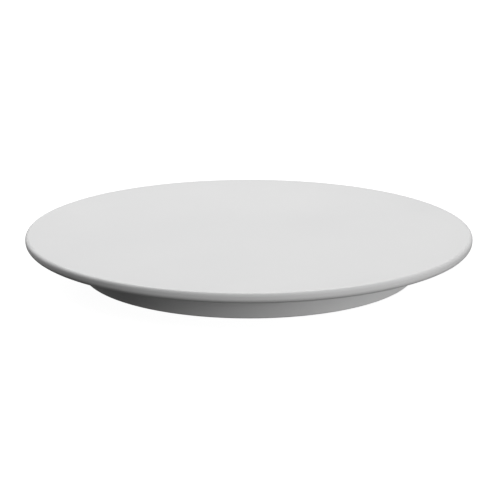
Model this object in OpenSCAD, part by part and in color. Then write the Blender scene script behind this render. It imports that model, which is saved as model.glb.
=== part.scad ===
// Serving turntable: a round lacquered plate that turns on a ring of balls, which runs
// between two aluminium rings inside a low round base.
// Lengths are millimetres and angles degrees. +Z is up, and the origin is on the table
// under the middle of the plate.

/* [Plate] */
// Diameter of the plate
plate_d = 400; // [380:5:440]
// Thickness of the plate
plate_t = 9; // [9:0.5:12]
// Radius of the plate's upper edge
plate_upper_r = 3; // [1:0.2:3.4]
// Radius of the plate's lower edge
plate_lower_r = 4.6; // [3:0.2:5.4]

/* [Base] */
// Outer diameter of the base ring
base_d = 301; // [300:1:330]
// Wall of the base ring beside the bearing
base_wall = 14.5; // [13:0.5:14.5]
// Height of the ledge that carries the base disc
ledge_h = 9.8; // [9.8:0.2:13]
// Width of the ledge that carries the base disc
ledge_w = 10.5; // [10:0.5:11]
// Thickness of the base disc
disc_t = 8; // [8:0.5:11]
// Open gap between the base ring and the turning plate
turn_gap = 1.2; // [0.8:0.1:1.6]

/* [Bearing] */
// Diameter of the circle through the middle of the balls
ball_circle_d = 234; // [226:2:236]
// Diameter of a ball
ball_d = 5; // [4.5:0.1:5]
// Number of balls
ball_count = 40; // [24:4:48]
// Width of each aluminium ring, across its flat face
race_w = 13; // [12.5:0.5:14]
// Height of each aluminium ring
race_h = 9; // [9:0.5:11]
// Height by which the turning ring stands over the fixed one
race_step = 1; // [0.6:0.2:1.4]

/* [Feet] */
// Diameter of a rubber foot
foot_d = 14; // [12:0.5:15]
// Height by which a foot stands out of the base ring
foot_proud = 1.8; // [1.6:0.2:3]

/* [Hidden] */
$fn = 96;
overcut = 0.5;        // a cutter reaches this far past the face that it opens
slip = 0.05;          // side clearance of a screw, an insert or a plug in its hole
tip_gap = 0.3;        // left past the end of a screw or an insert in a blind hole
foot_count = 6;       // one node each
fixing_count = 6;     // screws in each ring of screws

// Angle of the first of each ring of things. The whole is symmetric about the XZ plane.
turning_start = 0;    // screws of the turning race, and the hole that reaches them
fixed_start = 30;     // screws of the fixed race
ledge_start = 0;      // screws of the base disc, which stand between the feet
foot_start = 30;
fill_angle = 180;     // filling hole for the balls

// Heights above the table
base_z = foot_proud;
disc_z = base_z + ledge_h;
fixed_race_z = disc_z + disc_t;
turning_race_z = fixed_race_z + race_step;
plate_z = turning_race_z + race_h;
ball_z = (fixed_race_z + plate_z) / 2;
base_h = plate_z - turn_gap - base_z;

// Radii of the wooden parts
plate_r = plate_d / 2;
base_r = base_d / 2;
chamber_r = base_r - base_wall;
ledge_r = chamber_r - ledge_w;
base_lower_r = 1.5;   // rounding of the base ring's lower outer edge
base_upper_r = 1;     // rounding of its upper outer edge
disc_gap = 0.4;       // between the base disc and the wall
disc_edge_r = 0.5;

// Bearing
ball_circle_r = ball_circle_d / 2;
race_gap = 2;         // between the facing walls of the two races
turning_race_r = ball_circle_r - race_gap / 2 - race_w;
fixed_race_r = ball_circle_r + race_gap / 2;
race_chamfer = 0.5;
groove_play = 0.1;    // between a ball and each wall of a groove
groove_flat = 0.8;    // width of the flat at the bottom of a groove
groove_reach = sqrt(2) * (ball_d / 2 + groove_play);
groove_depth = groove_reach - race_gap / 2 - groove_flat / 2;
cage_t = 1.2;
cage_h = 7.6;
cage_play = 0.1;      // between a ball and its pocket
fill_r = ball_d / 2 + 0.15;
fill_plug_inset = 0.2;
key_af = 2.5;         // hexagon socket in the plug, across its flats
key_depth = 3;

// Countersunk screws
shank_r = 2;
core_r = 1.45;
point_r = 0.3;        // a screw ends in a flat this small
point_l = 2;          // length of the point of a wood screw
bolt_end_l = 0.5;     // length of the bevel on the end of a bolt
head_r = 3.8;
head_rim = 0.3;       // straight part of a countersunk head
head_sunk = 0.2;      // depth of a head below the face around it
wood_pitch = 1.5;
bolt_pitch = 0.7;
turning_fixing_r = turning_race_r + race_w / 2;
fixed_fixing_r = fixed_race_r + race_w / 2;
ledge_fixing_r = ledge_r + (ledge_w - disc_gap) / 2;
race_bolt_l = race_h + 5;
race_screw_l = race_h + disc_t - 2;
ledge_screw_l = ledge_h + disc_t - 2.5;

// Cross recess of every screw
cross_w = 0.9;
cross_l = 4.4;
cross_depth = 1.5;

// Threaded inserts in the plate
insert_r = 3;
insert_l = 6.5;
insert_sunk = 0.2;
insert_grip = 0.25;   // depth of the grooves that grip the wood
insert_grip_count = 3;

// Feet and their screws
foot_pocket = 2;      // depth that a foot is let into the base ring
foot_t = foot_pocket + foot_proud;
foot_r = foot_d / 2;
foot_gap = 0.2;
foot_lower_r = 0.6;
foot_upper_r = 0.2;
foot_circle_r = (ledge_r + base_r - 3) / 2;
foot_well_r = 4;
foot_well_h = 1.9;
foot_shank_r = 1.75;
foot_core_r = 1.25;
foot_head_r = 3.3;
foot_head_h = 1.4;
foot_head_crown = 0.4; // height of the sloped rim of the head
foot_head_flat_r = 2.3;
foot_smooth_l = 2;     // length of a foot screw that has no thread
foot_screw_l = 8;

// Plug in the hole that a screwdriver goes through
access_r = 8;
access_rim_r = 10.5;
access_rim_t = 1.4;
access_rim_lower_r = 0.8;
access_rim_upper_r = 0.2;
access_stem_h = 6;
access_wall = 1.2;

foot_names = [for (i = [1 : foot_count]) str("foot_", i)];

// ---- Shared shapes ----

// Draws its children count times round the Z axis, at radius r.
module around(count, r, start)
    for (i = [0 : count - 1])
        rotate(start + i * 360 / count)
            translate([r, 0, 0])
                children();

// A quarter of a disc, from straight down to straight out.
module lower_quarter(r)
    intersection() {
        circle(r);
        translate([0, -r]) square(r);
    }

// Half section of a flat ring with its two outer edges rounded by true arcs.
module slab_section(inner_r, outer_r, t, lower_r, upper_r) {
    translate([inner_r, 0]) square([outer_r - lower_r - inner_r, t]);
    translate([inner_r, lower_r]) square([outer_r - inner_r, t - lower_r - upper_r]);
    translate([inner_r, lower_r]) square([outer_r - upper_r - inner_r, t - lower_r]);
    translate([outer_r - lower_r, lower_r]) lower_quarter(lower_r);
    translate([outer_r - upper_r, t - upper_r]) mirror([0, 1]) lower_quarter(upper_r);
}

// Groove of a race: a V at 45 degrees with a flat bottom. It goes inwards from wall_r
// when into is -1, and outwards when it is 1.
module groove_section(wall_r, into) {
    mouth = groove_depth + groove_flat / 2 + overcut;
    translate([wall_r, ball_z]) polygon([
        [-into * overcut, -mouth], [into * groove_depth, -groove_flat / 2],
        [into * groove_depth, groove_flat / 2], [-into * overcut, mouth]
    ]);
}

// Half section of a race without its groove, standing on z = 0.
module race_blank_section(inner_r) {
    outer_r = inner_r + race_w;
    c = race_chamfer;
    polygon([
        [inner_r + c, 0], [outer_r - c, 0], [outer_r, c], [outer_r, race_h - c],
        [outer_r - c, race_h], [inner_r + c, race_h], [inner_r, race_h - c], [inner_r, c]
    ]);
}

// Outline of a row of thread crests from one height to another, as [radius, height] points.
function thread(crest_r, root_r, from, to, pitch) = [
    for (turn = [0 : floor((to - from) / pitch) - 1])
        for (p = [[root_r, 0.1], [crest_r, 0.45], [crest_r, 0.55], [root_r, 0.9]])
            [p[0], from + pitch * (turn + p[1])]
];

// A cross cut upwards from z = 0 into the head of a screw.
module cross_recess(depth) {
    for (turn = [0, 90])
        rotate(turn)
            translate([-cross_l / 2, -cross_w / 2, -overcut])
                cube([cross_l, cross_w, depth + overcut]);
    translate([0, 0, -overcut]) cylinder(h = depth + overcut, r = cross_w);
}

// A countersunk screw with its head at z = 0 and its point up.
module countersunk_screw(length, pitch, smooth_l, end_l)
    difference() {
        rotate_extrude() polygon(concat(
            [[0, 0], [head_r, 0], [head_r, head_rim]],
            [[shank_r, head_rim + head_r - shank_r], [shank_r, smooth_l]],
            thread(shank_r, core_r, smooth_l, length - end_l, pitch),
            [[core_r, length - end_l], [point_r, length], [0, length]]
        ));
        cross_recess(cross_depth);
    }

// The hole for a countersunk screw, going up from z = 0, with the head sunk in it.
module countersunk_hole(depth) {
    seat = head_sunk + head_rim;
    translate([0, 0, -overcut]) cylinder(h = overcut + depth, r = shank_r + slip);
    translate([0, 0, -overcut]) cylinder(h = overcut + seat, r = head_r + slip);
    translate([0, 0, seat])
        cylinder(h = head_r - shank_r, r1 = head_r + slip, r2 = shank_r + slip);
}

// ---- Parts that turn with the plate ----

module top_plate()
    color("whitesmoke")
        translate([0, 0, plate_z])
            difference() {
                rotate_extrude() slab_section(0, plate_r, plate_t, plate_lower_r, plate_upper_r);
                around(fixing_count, turning_fixing_r, turning_start)
                    translate([0, 0, -overcut])
                        cylinder(h = overcut + insert_sunk + insert_l + tip_gap, r = insert_r + slip);
            }

module plate_inserts() {
    step = insert_l / (2 * insert_grip_count + 1);
    color("goldenrod")
        around(fixing_count, turning_fixing_r, turning_start)
            translate([0, 0, plate_z + insert_sunk])
                rotate_extrude()
                    difference() {
                        translate([shank_r + slip, 0]) square([insert_r - shank_r - slip, insert_l]);
                        for (i = [0 : insert_grip_count - 1])
                            translate([insert_r - insert_grip, (2 * i + 1) * step])
                                square([insert_grip + overcut, step]);
                    }
}

module turning_race()
    color("silver")
        difference() {
            rotate_extrude()
                difference() {
                    translate([0, turning_race_z]) race_blank_section(turning_race_r);
                    groove_section(turning_race_r + race_w, -1);
                }
            around(fixing_count, turning_fixing_r, turning_start)
                translate([0, 0, turning_race_z]) countersunk_hole(race_h + overcut);
        }

module turning_race_bolts()
    color("lightsteelblue")
        around(fixing_count, turning_fixing_r, turning_start)
            translate([0, 0, turning_race_z + head_sunk])
                countersunk_screw(race_bolt_l, bolt_pitch, race_h / 2, bolt_end_l);

// ---- The balls and the cage that spaces them ----

module ball_cage()
    color("ivory")
        difference() {
            translate([0, 0, ball_z - cage_h / 2])
                rotate_extrude()
                    translate([ball_circle_r - cage_t / 2, 0]) square([cage_t, cage_h]);
            around(ball_count, ball_circle_r, 0)
                translate([0, 0, ball_z])
                    rotate([0, 90, 0])
                        cylinder(h = 3 * cage_t, r = ball_d / 2 + cage_play, center = true);
        }

module balls()
    color("gainsboro")
        around(ball_count, ball_circle_r, 0)
            translate([0, 0, ball_z]) sphere(d = ball_d);

// ---- Parts that stand still ----

module base_ring()
    color("whitesmoke")
        difference() {
            translate([0, 0, base_z])
                rotate_extrude()
                    difference() {
                        slab_section(ledge_r, base_r, base_h, base_lower_r, base_upper_r);
                        translate([ledge_r - overcut, ledge_h]) square([ledge_w + overcut, base_h]);
                    }
            around(foot_count, foot_circle_r, foot_start)
                translate([0, 0, base_z - overcut])
                    cylinder(h = foot_pocket + overcut, r = foot_r + foot_gap);
            around(foot_count, foot_circle_r, foot_start)
                cylinder(h = foot_well_h + foot_screw_l + tip_gap, r = foot_shank_r + slip);
            around(fixing_count, ledge_fixing_r, ledge_start)
                translate([0, 0, base_z]) countersunk_hole(ledge_h + overcut);
        }

module base_disc() {
    race_pilot_l = race_screw_l + head_sunk + tip_gap - race_h;
    color("whitesmoke")
        difference() {
            translate([0, 0, disc_z])
                rotate_extrude() slab_section(0, chamber_r - disc_gap, disc_t, disc_edge_r, disc_edge_r);
            around(fixing_count, ledge_fixing_r, ledge_start)
                cylinder(h = base_z + head_sunk + ledge_screw_l + tip_gap, r = shank_r + slip);
            around(fixing_count, fixed_fixing_r, fixed_start)
                translate([0, 0, fixed_race_z - race_pilot_l])
                    cylinder(h = race_pilot_l + overcut, r = shank_r + slip);
            around(1, turning_fixing_r, turning_start)
                cylinder(h = plate_z, r = access_r);
        }
}

module fixed_race()
    color("silver")
        difference() {
            rotate_extrude()
                difference() {
                    translate([0, fixed_race_z]) race_blank_section(fixed_race_r);
                    groove_section(fixed_race_r, 1);
                }
            around(fixing_count, fixed_fixing_r, fixed_start)
                translate([0, 0, fixed_race_z + race_h])
                    mirror([0, 0, 1]) countersunk_hole(race_h + overcut);
            around(1, fixed_race_r - overcut, fill_angle)
                translate([0, 0, ball_z])
                    rotate([0, 90, 0]) cylinder(h = race_w + 2 * overcut, r = fill_r);
        }

module fixed_race_screws()
    color("lightsteelblue")
        around(fixing_count, fixed_fixing_r, fixed_start)
            translate([0, 0, fixed_race_z + race_h - head_sunk])
                mirror([0, 0, 1]) countersunk_screw(race_screw_l, wood_pitch, race_h, point_l);

// Closes the hole that the balls went in through, from the bottom of the groove outwards.
module ball_fill_plug() {
    plug_l = race_w - groove_depth - 2 * fill_plug_inset;
    color("dimgray")
        around(1, fixed_race_r + groove_depth + fill_plug_inset, fill_angle)
            translate([0, 0, ball_z])
                rotate([0, 90, 0])
                    difference() {
                        cylinder(h = plug_l, r = fill_r - slip);
                        translate([0, 0, plug_l - key_depth])
                            cylinder(h = key_depth + overcut, d = key_af / cos(30), $fn = 6);
                    }
}

module base_disc_screws()
    color("lightsteelblue")
        around(fixing_count, ledge_fixing_r, ledge_start)
            translate([0, 0, base_z + head_sunk])
                countersunk_screw(ledge_screw_l, wood_pitch, ledge_h, point_l);

module access_plug()
    color("white")
        around(1, turning_fixing_r, turning_start)
            translate([0, 0, disc_z])
                difference() {
                    union() {
                        translate([0, 0, -access_rim_t])
                            rotate_extrude()
                                slab_section(0, access_rim_r, access_rim_t, access_rim_lower_r,
                                    access_rim_upper_r);
                        cylinder(h = access_stem_h, r = access_r - slip);
                    }
                    cylinder(h = access_stem_h + overcut, r = access_r - slip - access_wall);
                }

// Pan head screws, with their heads down in the wells of the feet.
module foot_screws() {
    thread_end = foot_head_h + foot_screw_l - point_l;
    color("lightsteelblue")
        around(foot_count, foot_circle_r, foot_start)
            translate([0, 0, foot_well_h - foot_head_h])
                difference() {
                    rotate_extrude() polygon(concat(
                        [[0, 0], [foot_head_flat_r, 0], [foot_head_r, foot_head_crown]],
                        [[foot_head_r, foot_head_h], [foot_shank_r, foot_head_h]],
                        [[foot_shank_r, foot_head_h + foot_smooth_l]],
                        thread(foot_shank_r, foot_core_r, foot_head_h + foot_smooth_l, thread_end, wood_pitch),
                        [[foot_core_r, thread_end], [point_r, thread_end + point_l], [0, thread_end + point_l]]
                    ));
                    cross_recess(foot_head_h - tip_gap);
                }
}

// Foot number i, a rubber disc with a well for its screw.
module foot(i)
    color("slategray")
        around(1, foot_circle_r, foot_start + (i - 1) * 360 / foot_count)
            rotate_extrude()
                difference() {
                    slab_section(foot_shank_r + slip, foot_r, foot_t, foot_lower_r, foot_upper_r);
                    translate([0, -overcut]) square([foot_well_r, foot_well_h + overcut]);
                }

top_plate();
plate_inserts();
turning_race();
turning_race_bolts();
ball_cage();
balls();
base_ring();
base_disc();
fixed_race();
fixed_race_screws();
ball_fill_plug();
base_disc_screws();
access_plug();
foot_screws();
for (i = [1 : foot_count])
    foot(i);
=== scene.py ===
"""A round serving turntable: satin white plate and base, and the ring bearing between them."""
import math
import bmesh
import bpy
from mathutils import Matrix, Vector


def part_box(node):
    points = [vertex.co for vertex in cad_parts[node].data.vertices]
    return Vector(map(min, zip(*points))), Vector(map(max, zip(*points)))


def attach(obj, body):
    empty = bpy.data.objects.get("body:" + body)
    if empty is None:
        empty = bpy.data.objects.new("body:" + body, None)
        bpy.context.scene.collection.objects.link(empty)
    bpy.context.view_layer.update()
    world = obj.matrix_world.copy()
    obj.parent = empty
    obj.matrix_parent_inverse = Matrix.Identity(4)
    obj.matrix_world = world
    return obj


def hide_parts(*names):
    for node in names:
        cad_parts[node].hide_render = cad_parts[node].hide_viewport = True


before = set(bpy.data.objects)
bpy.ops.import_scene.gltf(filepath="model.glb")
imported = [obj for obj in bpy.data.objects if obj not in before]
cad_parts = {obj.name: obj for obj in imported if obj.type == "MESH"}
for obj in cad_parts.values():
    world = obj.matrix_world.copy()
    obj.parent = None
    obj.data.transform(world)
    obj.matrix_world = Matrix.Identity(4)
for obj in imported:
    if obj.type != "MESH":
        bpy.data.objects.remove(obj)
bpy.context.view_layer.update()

MM = 0.001
UP = Vector((0, 0, 1))

# ---- Sizes the boxes of the CAD nodes don't give ----
TURN_STEPS = 288          # flats round a large turned piece
SMALL_STEPS = 64          # flats round a foot, a plug or a drilled hole
ROUND_STEPS = 10          # flats across a rounded edge
ROUND_GUARD = 0.25 * MM   # a narrow flat beside each rounded edge, which keeps the flats flat
CREASE = math.radians(28)
MERGED = MM / 1000        # points nearer than this become one
SAME_PLACE = MM / 100     # points nearer than this to a rim are on it
OVERCUT = 1 * MM          # a cutter reaches this far past the face that it opens
SLIP = 0.05 * MM          # side clearance of a plug in its hole

PLATE_UPPER_ROUND = 3.0 * MM
PLATE_LOWER_ROUND = 4.6 * MM
BASE_LOWER_ROUND = 1.5 * MM
BASE_UPPER_ROUND = 1.0 * MM
LEDGE_WIDTH = 10.5 * MM
LEDGE_HEIGHT = 9.8 * MM
BASE_WALL = 14.5 * MM
DISC_ROUND = 0.5 * MM

RACE_WIDTH = 13 * MM
RACE_CHAMFER = 0.5 * MM
GROOVE_DEPTH = 2.277 * MM # leaves 0.1 mm between a ball and each 45 degree wall
GROOVE_FLAT = 0.8 * MM

FIXINGS = 6
SHANK_R = 2.05 * MM       # drilled hole for a countersunk screw
HEAD_R = 3.85 * MM
SCREW_HEAD_R = 3.8 * MM
HEAD_SEAT = 0.5 * MM      # depth of the straight part of a countersink
HEAD_CONE = 1.8 * MM
TIP_GAP = 0.3 * MM        # left past the end of a screw or an insert in a blind hole
INSERT_HOLE_R = 3.05 * MM
FIXED_START = 30
TURNING_START = 0
LEDGE_START = 0
FOOT_START = 30
FILL_ANGLE = 180
FILL_R = 2.65 * MM
ACCESS_R = 8 * MM

FOOT_POCKET_R = 7.2 * MM
FOOT_POCKET_DEPTH = 2 * MM
FOOT_BORE_R = 1.8 * MM
FOOT_WELL_R = 4 * MM
FOOT_WELL_HEIGHT = 1.9 * MM
FOOT_SCREW_TOP = 10.2 * MM
FOOT_EDGE_ROUND = 0.6 * MM
FOOT_GRIP_RINGS = (4.75 * MM, 5.65 * MM)
FOOT_GRIP_WIDTH = 0.45 * MM
FOOT_GRIP_DEPTH = 0.35 * MM

PLUG_RIM = 1.4 * MM
PLUG_RIM_ROUND = 0.8 * MM
PLUG_WALL = 1.2 * MM

RIM_WORN_FROM = 176 * MM  # radii between which hands have smoothed the lacquer
RIM_WORN_TO = 197 * MM

SOFTBOX_DISTANCE = 4.4
GLARE_FREE_BELOW = 45     # degrees. A softbox lower than this leaves no glare across the plate
SOFTBOXES = (             # name, azimuth and elevation in degrees, size in metres, power in watts
    ("key_back", 90, 55, 2.2, 117.2),
    ("fill_front", 270, 55, 2.2, 35.6),
    ("side_right", 0, 9, 1.4, 23.2),
    ("low_front_right", 315, 9, 1.4, 61.4),
    ("front_right", 315, 28, 2.0, 30.4),
    ("back_left", 135, 28, 2.0, 84.3),
    ("side_left", 180, 28, 2.0, 12.6),
)
WORLD_SEEN = 1.02         # what the camera sees behind the object
WORLD_LIGHT = 0.060       # what falls on the object from all round
FLOOR_GLOW = 0.96
FLOOR_COLOUR = 0.2
FLOOR_RADIUS = 6
FLOOR_STEPS = 64

CAMERA_ELEVATION = 16.14  # degrees above the table, from the middle of the base's underside
CAMERA_DISTANCE = 1.38
CAMERA_LENS = 109.77      # mm, on a sensor CAMERA_SENSOR mm wide
CAMERA_SENSOR = 36
CAMERA_RAISED = 0.698     # degrees that the view is turned up, and to the right, from there
CAMERA_TURNED = -0.004


# ---- Where the CAD nodes are ----

def reach(node):
    """Outer radius, bottom and top of a CAD node that is centred on the turning axis."""
    low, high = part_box(node)
    return (high.x - low.x) / 2, low.z, high.z


def middle(node):
    """Centre of a CAD node in plan."""
    low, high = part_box(node)
    return Vector(((low.x + high.x) / 2, (low.y + high.y) / 2, 0))


def ring_places(count, radius, start):
    """Points on a circle round the turning axis."""
    return [Matrix.Rotation(math.radians(start + i * 360 / count), 3, "Z") @ Vector((radius, 0, 0))
            for i in range(count)]


# ---- Turning and drilling ----

def guarded(section, rounds):
    """The section with a point on each side of every corner that gets rounded."""
    points = []
    for i, corner in enumerate(section):
        here = Vector((corner[0], 0, corner[1]))
        if i not in rounds:
            points.append(here)
            continue
        sides = [Vector((r, 0, z)) for r, z in (section[i - 1], section[(i + 1) % len(section)])]
        before, after = [here + (side - here).normalized() * (rounds[i] + ROUND_GUARD) for side in sides]
        points += [before, here, after]
    return points


def turned(section, rounds={}, steps=TURN_STEPS):
    """Spins a section round the Z axis. It is closed on itself, or on the axis where it ends there."""
    bm = bmesh.new()
    verts = [bm.verts.new(point) for point in guarded(section, rounds)]
    on_axis = section[0][0] == 0
    ends = verts if on_axis else verts + verts[:1]
    edges = [bm.edges.new(pair) for pair in zip(ends, ends[1:])]
    bmesh.ops.spin(bm, geom=verts + edges, cent=(0, 0, 0), axis=UP, angle=math.tau,
                   steps=steps, use_merge=True)
    bmesh.ops.remove_doubles(bm, verts=bm.verts, dist=MERGED)
    for i, size in rounds.items():
        radius, height = section[i]
        rim = [e for e in bm.edges if all(abs(v.co.xy.length - radius) < SAME_PLACE
                                          and abs(v.co.z - height) < SAME_PLACE for v in e.verts)]
        bmesh.ops.bevel(bm, geom=rim, offset=size, offset_type="OFFSET", segments=ROUND_STEPS,
                        profile=0.5, affect="EDGES", material=-1)
    bmesh.ops.recalc_face_normals(bm, faces=bm.faces)
    return bm


def crease(bm):
    """Shades smooth, with hard edges left where two faces meet at an angle."""
    for face in bm.faces:
        face.smooth = True
    for edge in bm.edges:
        edge.smooth = len(edge.link_faces) == 2 and edge.calc_face_angle(math.pi) < CREASE


def new_object(name, bm):
    """Makes an object from a bmesh, and uses the bmesh up."""
    mesh = bpy.data.meshes.new(name)
    bm.to_mesh(mesh)
    bm.free()
    made = bpy.data.objects.new(name, mesh)
    bpy.context.scene.collection.objects.link(made)
    return made


def finished(name, bm, material, body, stands_for):
    """Makes a piece from a bmesh, in place, hangs it on the empty of its body, and hides the CAD node
    that it stands for.
    """
    crease(bm)
    piece = new_object(name, bm)
    piece.data.materials.append(material)
    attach(piece, body)
    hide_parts(stands_for)


def placed(bm, places):
    """Joins a copy of the shape at each place, given as a point or a matrix, into one bmesh."""
    shape = bpy.data.meshes.new("shape")
    bm.to_mesh(shape)
    bm.free()
    together = bmesh.new()
    for place in places:
        copy = bmesh.new()
        copy.from_mesh(shape)
        matrix = place if isinstance(place, Matrix) else Matrix.Translation(place)
        bmesh.ops.transform(copy, matrix=matrix, verts=copy.verts)
        moved = bpy.data.meshes.new("moved")
        copy.to_mesh(moved)
        copy.free()
        together.from_mesh(moved)
        bpy.data.meshes.remove(moved)
    bpy.data.meshes.remove(shape)
    return together


def drilled(bm, *cutters):
    """The shape with each cutter taken out of it."""
    blank = new_object("blank", bm)
    tools = [new_object("cutter", cutter) for cutter in cutters]
    for tool in tools:
        hole = blank.modifiers.new("hole", "BOOLEAN")
        hole.operation = "DIFFERENCE"
        hole.solver = "EXACT"
        hole.object = tool
    mesh = bpy.data.meshes.new_from_object(blank.evaluated_get(bpy.context.evaluated_depsgraph_get()))
    result = bmesh.new()
    result.from_mesh(mesh)
    bmesh.ops.remove_doubles(result, verts=result.verts, dist=MERGED)
    bpy.data.meshes.remove(mesh)
    for holder in [blank, *tools]:
        bpy.data.meshes.remove(holder.data)
    return result


def countersink(bottom, top):
    """Cutter for a countersunk hole, with its head at the bottom."""
    start = bottom - OVERCUT
    return turned([(0, start), (HEAD_R, start), (HEAD_R, bottom + HEAD_SEAT),
                   (SHANK_R, bottom + HEAD_SEAT + HEAD_CONE), (SHANK_R, top), (0, top)],
                  steps=SMALL_STEPS)


def drill(radius, bottom, top):
    """Cutter for a plain round hole."""
    return turned([(0, bottom), (radius, bottom), (radius, top), (0, top)], steps=SMALL_STEPS)


def race_screw_places(race, start):
    """Where the screws go through a race, half way across it."""
    return ring_places(FIXINGS, reach(race)[0] - RACE_WIDTH / 2, start)


def ledge_screw_places():
    """Where the screws go up through the ledge of the base ring."""
    return ring_places(FIXINGS, reach("base_disc_screws")[0] - SCREW_HEAD_R, LEDGE_START)


# ---- Materials ----

class Finish:
    """A procedural material, built up from Object coordinates."""

    def __init__(self, name, colour, roughness, metal=0.0):
        self.material = bpy.data.materials.new(name)
        self.material.use_nodes = True
        self.tree = self.material.node_tree
        self.shader = self.tree.nodes["Principled BSDF"]
        self.shader.inputs["Base Color"].default_value = (*colour, 1)
        self.shader.inputs["Roughness"].default_value = roughness
        self.shader.inputs["Metallic"].default_value = metal
        self.place = self.tree.nodes.new("ShaderNodeTexCoord").outputs["Object"]
        self.heights = []

    def link(self, source, socket):
        self.tree.links.new(source, socket)

    def worked_out(self, operation, *values):
        """A Math node, on sockets and plain numbers."""
        node = self.tree.nodes.new("ShaderNodeMath")
        node.operation = operation
        for socket, value in zip(node.inputs, values):
            if isinstance(value, bpy.types.NodeSocket):
                self.link(value, socket)
            else:
                socket.default_value = value
        return node.outputs[0]

    def noise(self, scale, detail=2.0, place=None):
        node = self.tree.nodes.new("ShaderNodeTexNoise")
        node.inputs["Scale"].default_value = scale
        node.inputs["Detail"].default_value = detail
        self.link(place or self.place, node.inputs["Vector"])
        return node.outputs["Fac"]

    def between(self, value, from_low, from_high, low, high):
        node = self.tree.nodes.new("ShaderNodeMapRange")
        for socket, number in zip(list(node.inputs)[1:5], (from_low, from_high, low, high)):
            socket.default_value = number
        self.link(value, node.inputs["Value"])
        return node.outputs["Result"]

    def spread(self, noise, low, high):
        """Stretches a noise, most of which lies between 0.3 and 0.7, from low to high."""
        return self.between(noise, 0.3, 0.7, low, high)

    def radius(self):
        """Distance from the turning axis."""
        apart = self.tree.nodes.new("ShaderNodeSeparateXYZ")
        self.link(self.place, apart.inputs[0])
        x, y = apart.outputs["X"], apart.outputs["Y"]
        squares = [self.worked_out("MULTIPLY", side, side) for side in (x, y)]
        return self.worked_out("SQRT", self.worked_out("ADD", *squares))

    def tint(self, value, low, high):
        """Colour goes from low to high with the value."""
        node = self.tree.nodes.new("ShaderNodeValToRGB")
        node.color_ramp.elements[0].color = (*low, 1)
        node.color_ramp.elements[1].color = (*high, 1)
        self.link(value, node.inputs["Fac"])
        self.link(node.outputs["Color"], self.shader.inputs["Base Color"])

    def rough(self, value):
        self.link(value, self.shader.inputs["Roughness"])

    def bump(self, value, depth):
        """Adds relief of this depth, in metres."""
        node = self.tree.nodes.new("ShaderNodeBump")
        node.inputs["Strength"].default_value = 1
        node.inputs["Distance"].default_value = depth
        self.link(value, node.inputs["Height"])
        if self.heights:
            self.link(self.heights[-1], node.inputs["Normal"])
        self.heights.append(node.outputs["Normal"])
        self.link(node.outputs["Normal"], self.shader.inputs["Normal"])


def satin_lacquer():
    """Sprayed white lacquer on fine board: faint orange peel, and a rim that hands have smoothed."""
    f = Finish("satin_lacquer", (0.72, 0.72, 0.72), 0.56)
    cloud = f.noise(9, 4)
    f.tint(f.spread(cloud, 0, 1), (0.712, 0.713, 0.714), (0.728, 0.728, 0.727))
    speck = f.between(f.noise(420, 3), 0.35, 0.65, -0.02, 0.02)
    handled = f.between(f.radius(), RIM_WORN_FROM, RIM_WORN_TO, 0, -0.04)
    clouded = f.worked_out("ADD", f.spread(cloud, 0.54, 0.58), speck)
    f.rough(f.worked_out("ADD", handled, clouded))
    f.bump(f.noise(260, 2), 0.012 * MM)
    f.bump(f.noise(1400, 2), 0.003 * MM)
    return f.material


def turned_metal(name, colour, roughness, line_scale, line_depth):
    """Metal with fine tool lines round the turning axis."""
    f = Finish(name, colour, roughness, metal=1.0)
    line = f.tree.nodes.new("ShaderNodeTexNoise")
    line.noise_dimensions = "1D"
    line.inputs["Scale"].default_value = line_scale
    line.inputs["Detail"].default_value = 6
    f.link(f.radius(), line.inputs["W"])
    lines = line.outputs["Fac"]
    smear = f.spread(f.noise(60, 3), -0.03, 0.03)
    f.rough(f.worked_out("ADD", f.spread(lines, roughness - 0.06, roughness + 0.08), smear))
    f.tint(lines, [c * 0.93 for c in colour], colour)
    f.bump(lines, line_depth)
    return f.material


def plain_metal(name, colour, roughness, grain, depth):
    """Plated or ground metal with a fine even grain."""
    f = Finish(name, colour, roughness, metal=1.0)
    fine = f.noise(grain, 4)
    f.tint(f.noise(grain / 12, 3), [c * 0.9 for c in colour], colour)
    f.rough(f.spread(fine, roughness - 0.05, roughness + 0.07))
    f.bump(fine, depth)
    return f.material


def moulded(name, dark, light, roughness, grain, depth):
    """Plastic or rubber with a moulded grain."""
    f = Finish(name, dark, roughness)
    fine = f.noise(grain, 3)
    f.tint(f.spread(f.noise(grain / 20, 4), 0, 1), dark, light)
    f.rough(f.spread(fine, roughness - 0.06, roughness + 0.06))
    f.bump(fine, depth)
    return f.material


LACQUER = satin_lacquer()
ALUMINIUM = turned_metal("turned_aluminium", (0.80, 0.80, 0.82), 0.30, 5200, 0.006 * MM)
BRASS = turned_metal("turned_brass", (0.78, 0.58, 0.26), 0.28, 6500, 0.004 * MM)
BALL_STEEL = plain_metal("ball_steel", (0.70, 0.70, 0.71), 0.10, 900, 0.0005 * MM)
ZINC = plain_metal("zinc_plate", (0.66, 0.68, 0.71), 0.30, 2600, 0.003 * MM)
BLACK_STEEL = plain_metal("black_oxide", (0.06, 0.06, 0.065), 0.42, 2600, 0.004 * MM)
NYLON = moulded("nylon_strip", (0.76, 0.74, 0.67), (0.82, 0.80, 0.74), 0.48, 1500, 0.006 * MM)
WHITE_PLASTIC = moulded("white_plastic", (0.70, 0.70, 0.70), (0.74, 0.74, 0.74), 0.50, 2200, 0.01 * MM)
RUBBER = moulded("rubber", (0.018, 0.018, 0.019), (0.030, 0.030, 0.031), 0.72, 1800, 0.02 * MM)


# ---- Plate ----

def slab(node, lower_round, upper_round):
    """A solid round board the size of a CAD node, with its two outer edges rounded."""
    radius, bottom, top = reach(node)
    section = [(0, bottom), (radius / 2, bottom), (radius, bottom),
               (radius, top), (radius / 2, top), (0, top)]
    return turned(section, {2: lower_round, 3: upper_round})


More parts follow.
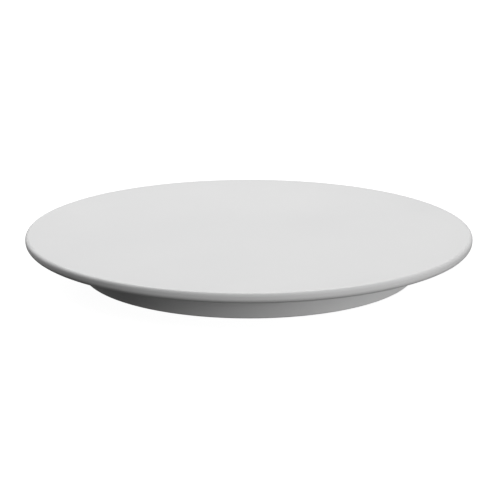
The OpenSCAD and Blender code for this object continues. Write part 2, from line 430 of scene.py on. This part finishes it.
def make_plate():
    bottom = reach("top_plate")[1]
    shape = slab("top_plate", PLATE_LOWER_ROUND, PLATE_UPPER_ROUND)
    hole = drill(INSERT_HOLE_R, bottom - OVERCUT, reach("plate_inserts")[2] + TIP_GAP)
    holes = placed(hole, race_screw_places("turning_race", TURNING_START))
    finished("plate", drilled(shape, holes), LACQUER, "platter", "top_plate")


# ---- Base ----

def make_base_ring():
    radius, bottom, top = reach("base_ring")
    wall = radius - BASE_WALL
    ledge = wall - LEDGE_WIDTH
    shelf = bottom + LEDGE_HEIGHT
    section = [(ledge, bottom), (radius, bottom), (radius, top),
               (wall, top), (wall, shelf), (ledge, shelf)]
    shape = turned(section, {1: BASE_LOWER_ROUND, 2: BASE_UPPER_ROUND})
    pocket = bottom + FOOT_POCKET_DEPTH
    foot = turned([(0, 0), (FOOT_POCKET_R, 0), (FOOT_POCKET_R, pocket), (FOOT_BORE_R, pocket),
                   (FOOT_BORE_R, FOOT_SCREW_TOP), (0, FOOT_SCREW_TOP)], steps=SMALL_STEPS)
    feet = placed(foot, ring_places(FIXINGS, middle("foot_1").length, FOOT_START))
    screws = placed(countersink(bottom, shelf + OVERCUT), ledge_screw_places())
    finished("base_ring_wood", drilled(shape, feet, screws), LACQUER, "base",
             "base_ring")


def make_base_disc():
    _, bottom, top = reach("base_disc")
    shape = slab("base_disc", DISC_ROUND, DISC_ROUND)
    access = placed(drill(ACCESS_R, bottom - OVERCUT, top + OVERCUT), [middle("access_plug")])
    from_below = drill(SHANK_R, bottom - OVERCUT, reach("base_disc_screws")[2] + TIP_GAP)
    from_above = drill(SHANK_R, reach("fixed_race_screws")[1] - TIP_GAP, top + OVERCUT)
    pilots = [placed(from_below, ledge_screw_places()),
              placed(from_above, race_screw_places("fixed_race", FIXED_START))]
    finished("base_disc_wood", drilled(shape, access, *pilots), LACQUER, "base",
             "base_disc")


def make_access_plug():
    low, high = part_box("access_plug")
    rim = (high.x - low.x) / 2
    stem = ACCESS_R - SLIP
    shoulder = low.z + PLUG_RIM
    section = [(0, low.z), (rim, low.z), (rim, shoulder), (stem, shoulder), (stem, high.z),
               (stem - PLUG_WALL, high.z), (stem - PLUG_WALL, shoulder), (0, shoulder)]
    shape = turned(section, {1: PLUG_RIM_ROUND}, SMALL_STEPS * 2)
    finished("access_cap", placed(shape, [middle("access_plug")]), WHITE_PLASTIC, "base",
             "access_plug")


def make_foot(number):
    """A rubber foot with grip rings in its underside and a well for its screw."""
    node = f"foot_{number}"
    low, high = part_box(node)
    radius = (high.x - low.x) / 2
    section = [(FOOT_BORE_R, FOOT_WELL_HEIGHT), (FOOT_WELL_R, FOOT_WELL_HEIGHT), (FOOT_WELL_R, low.z)]
    for ring in FOOT_GRIP_RINGS:
        half = FOOT_GRIP_WIDTH / 2
        section += [(ring - half, low.z), (ring - half / 2, low.z + FOOT_GRIP_DEPTH),
                    (ring + half / 2, low.z + FOOT_GRIP_DEPTH), (ring + half, low.z)]
    corner = len(section)
    section += [(radius, low.z), (radius, high.z), (FOOT_BORE_R, high.z)]
    shape = turned(section, {corner: FOOT_EDGE_ROUND}, SMALL_STEPS * 2)
    finished(f"{node}_rubber", placed(shape, [middle(node)]), RUBBER, "base", node)


# ---- Bearing ----

def race_section(inner, bottom, top, ball_height, groove_side):
    """Section of a race. Its groove is in the outer wall when groove_side is 1, or the inner when -1."""
    outer = inner + RACE_WIDTH
    c = RACE_CHAMFER
    flat = GROOVE_FLAT / 2
    mouth = GROOVE_DEPTH + flat
    wall = outer if groove_side > 0 else inner
    deep = wall - groove_side * GROOVE_DEPTH
    groove = [(wall, ball_height - mouth), (deep, ball_height - flat),
              (deep, ball_height + flat), (wall, ball_height + mouth)]
    lower_outer = [(outer - c, bottom), (outer, bottom + c)]
    upper_outer = [(outer, top - c), (outer - c, top)]
    upper_inner = [(inner + c, top), (inner, top - c)]
    lower_inner = [(inner, bottom + c), (inner + c, bottom)]
    if groove_side > 0:
        return lower_outer + groove + upper_outer + upper_inner + lower_inner
    return lower_outer + upper_outer + upper_inner + groove[::-1] + lower_inner


def ball_centres():
    """Height of the middle of the balls."""
    low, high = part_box("balls")
    return (low.z + high.z) / 2


def race_blank(node, groove_side):
    """A race with its groove, and no holes yet."""
    outer, bottom, top = reach(node)
    return turned(race_section(outer - RACE_WIDTH, bottom, top, ball_centres(), groove_side))


def make_turning_race():
    _, bottom, top = reach("turning_race")
    places = race_screw_places("turning_race", TURNING_START)
    holes = placed(countersink(bottom, top + OVERCUT), places)
    shape = drilled(race_blank("turning_race", 1), holes)
    finished("turning_race_ring", shape, ALUMINIUM, "platter", "turning_race")


def make_fixed_race():
    """Its screws go in from above, and one hole lets the balls in from the side."""
    outer, bottom, top = reach("fixed_race")
    upside_down = Matrix.Translation((0, 0, bottom + top)) @ Matrix.Scale(-1, 4, UP)
    places = [Matrix.Translation(place) @ upside_down
              for place in race_screw_places("fixed_race", FIXED_START)]
    holes = placed(countersink(bottom, top + OVERCUT), places)
    bmesh.ops.recalc_face_normals(holes, faces=holes.faces)
    sideways = (Matrix.Rotation(math.radians(FILL_ANGLE), 4, "Z")
                @ Matrix.Translation((outer - RACE_WIDTH - OVERCUT, 0, ball_centres()))
                @ Matrix.Rotation(math.pi / 2, 4, "Y"))
    filling = placed(drill(FILL_R, 0, RACE_WIDTH + 2 * OVERCUT), [sideways])
    shape = drilled(race_blank("fixed_race", -1), holes, filling)
    finished("fixed_race_ring", shape, ALUMINIUM, "base", "fixed_race")


# ---- CAD nodes that show as they are ----

def finish_cad_nodes():
    for node, material in (("plate_inserts", BRASS), ("turning_race_bolts", ZINC),
                           ("fixed_race_screws", ZINC), ("base_disc_screws", ZINC),
                           ("foot_screws", ZINC), ("ball_cage", NYLON),
                           ("balls", BALL_STEEL), ("ball_fill_plug", BLACK_STEEL)):
        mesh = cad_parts[node].data
        mesh.materials.clear()
        mesh.materials.append(material)


# ---- Studio ----

def make_floor():
    """A pale floor. It takes a faint shadow, and throws no light up."""
    bm = bmesh.new()
    bmesh.ops.create_circle(bm, cap_ends=True, segments=FLOOR_STEPS, radius=FLOOR_RADIUS)
    floor = new_object("floor", bm)
    pale = bpy.data.materials.new("pale_floor")
    pale.use_nodes = True
    tree = pale.node_tree
    tree.nodes.clear()
    glow = tree.nodes.new("ShaderNodeEmission")
    glow.inputs["Strength"].default_value = FLOOR_GLOW
    matt = tree.nodes.new("ShaderNodeBsdfDiffuse")
    matt.inputs["Color"].default_value = (FLOOR_COLOUR, FLOOR_COLOUR, FLOOR_COLOUR, 1)
    both = tree.nodes.new("ShaderNodeAddShader")
    out = tree.nodes.new("ShaderNodeOutputMaterial")
    tree.links.new(glow.outputs[0], both.inputs[0])
    tree.links.new(matt.outputs[0], both.inputs[1])
    tree.links.new(both.outputs[0], out.inputs["Surface"])
    floor.data.materials.append(pale)
    floor.visible_diffuse = False
    floor.visible_glossy = False


def make_world():
    """White behind the object, and dim all round it."""
    world = bpy.data.worlds.new("studio")
    bpy.context.scene.world = world
    world.use_nodes = True
    tree = world.node_tree
    tree.nodes.clear()
    path = tree.nodes.new("ShaderNodeLightPath")
    mix = tree.nodes.new("ShaderNodeMixShader")
    out = tree.nodes.new("ShaderNodeOutputWorld")
    tree.links.new(path.outputs["Is Camera Ray"], mix.inputs[0])
    for socket, strength in ((mix.inputs[1], WORLD_LIGHT), (mix.inputs[2], WORLD_SEEN)):
        white = tree.nodes.new("ShaderNodeBackground")
        white.inputs["Color"].default_value = (1, 1, 1, 1)
        white.inputs["Strength"].default_value = strength
        tree.links.new(white.outputs[0], socket)
    tree.links.new(mix.outputs[0], out.inputs["Surface"])


def make_softbox(name, azimuth, elevation, size, power):
    """A square soft light, SOFTBOX_DISTANCE from the plate and facing it."""
    around, up = math.radians(azimuth), math.radians(elevation)
    level = math.cos(up)
    place = SOFTBOX_DISTANCE * Vector((level * math.cos(around), level * math.sin(around), math.sin(up)))
    data = bpy.data.lights.new(name, "AREA")
    data.shape = "SQUARE"
    data.size = size
    data.energy = power
    lamp = bpy.data.objects.new(name, data)
    lamp.location = place
    lamp.rotation_euler = (-place).to_track_quat("-Z", "Y").to_euler()
    lamp.visible_camera = False
    lamp.visible_glossy = elevation > GLARE_FREE_BELOW
    bpy.context.scene.collection.objects.link(lamp)


def make_camera():
    """Looks down on the plate from the front, with the object in the middle of the view."""
    elevation = math.radians(CAMERA_ELEVATION)
    data = bpy.data.cameras.new("camera")
    data.sensor_width = CAMERA_SENSOR
    data.lens = CAMERA_LENS
    camera = bpy.data.objects.new("camera", data)
    back = Vector((0, -math.cos(elevation), math.sin(elevation)))
    camera.location = Vector((0, 0, reach("base_ring")[1])) + back * CAMERA_DISTANCE
    tilt = math.pi / 2 - elevation + math.radians(CAMERA_RAISED)
    camera.rotation_euler = (tilt, 0, math.radians(CAMERA_TURNED))
    bpy.context.scene.collection.objects.link(camera)
    bpy.context.scene.camera = camera


make_plate()
make_base_ring()
make_base_disc()
make_access_plug()
for foot_number in range(1, FIXINGS + 1):
    make_foot(foot_number)
make_turning_race()
make_fixed_race()
finish_cad_nodes()

make_floor()
make_world()
for softbox in SOFTBOXES:
    make_softbox(*softbox)
make_camera()
bpy.context.scene.view_settings.view_transform = "Standard"
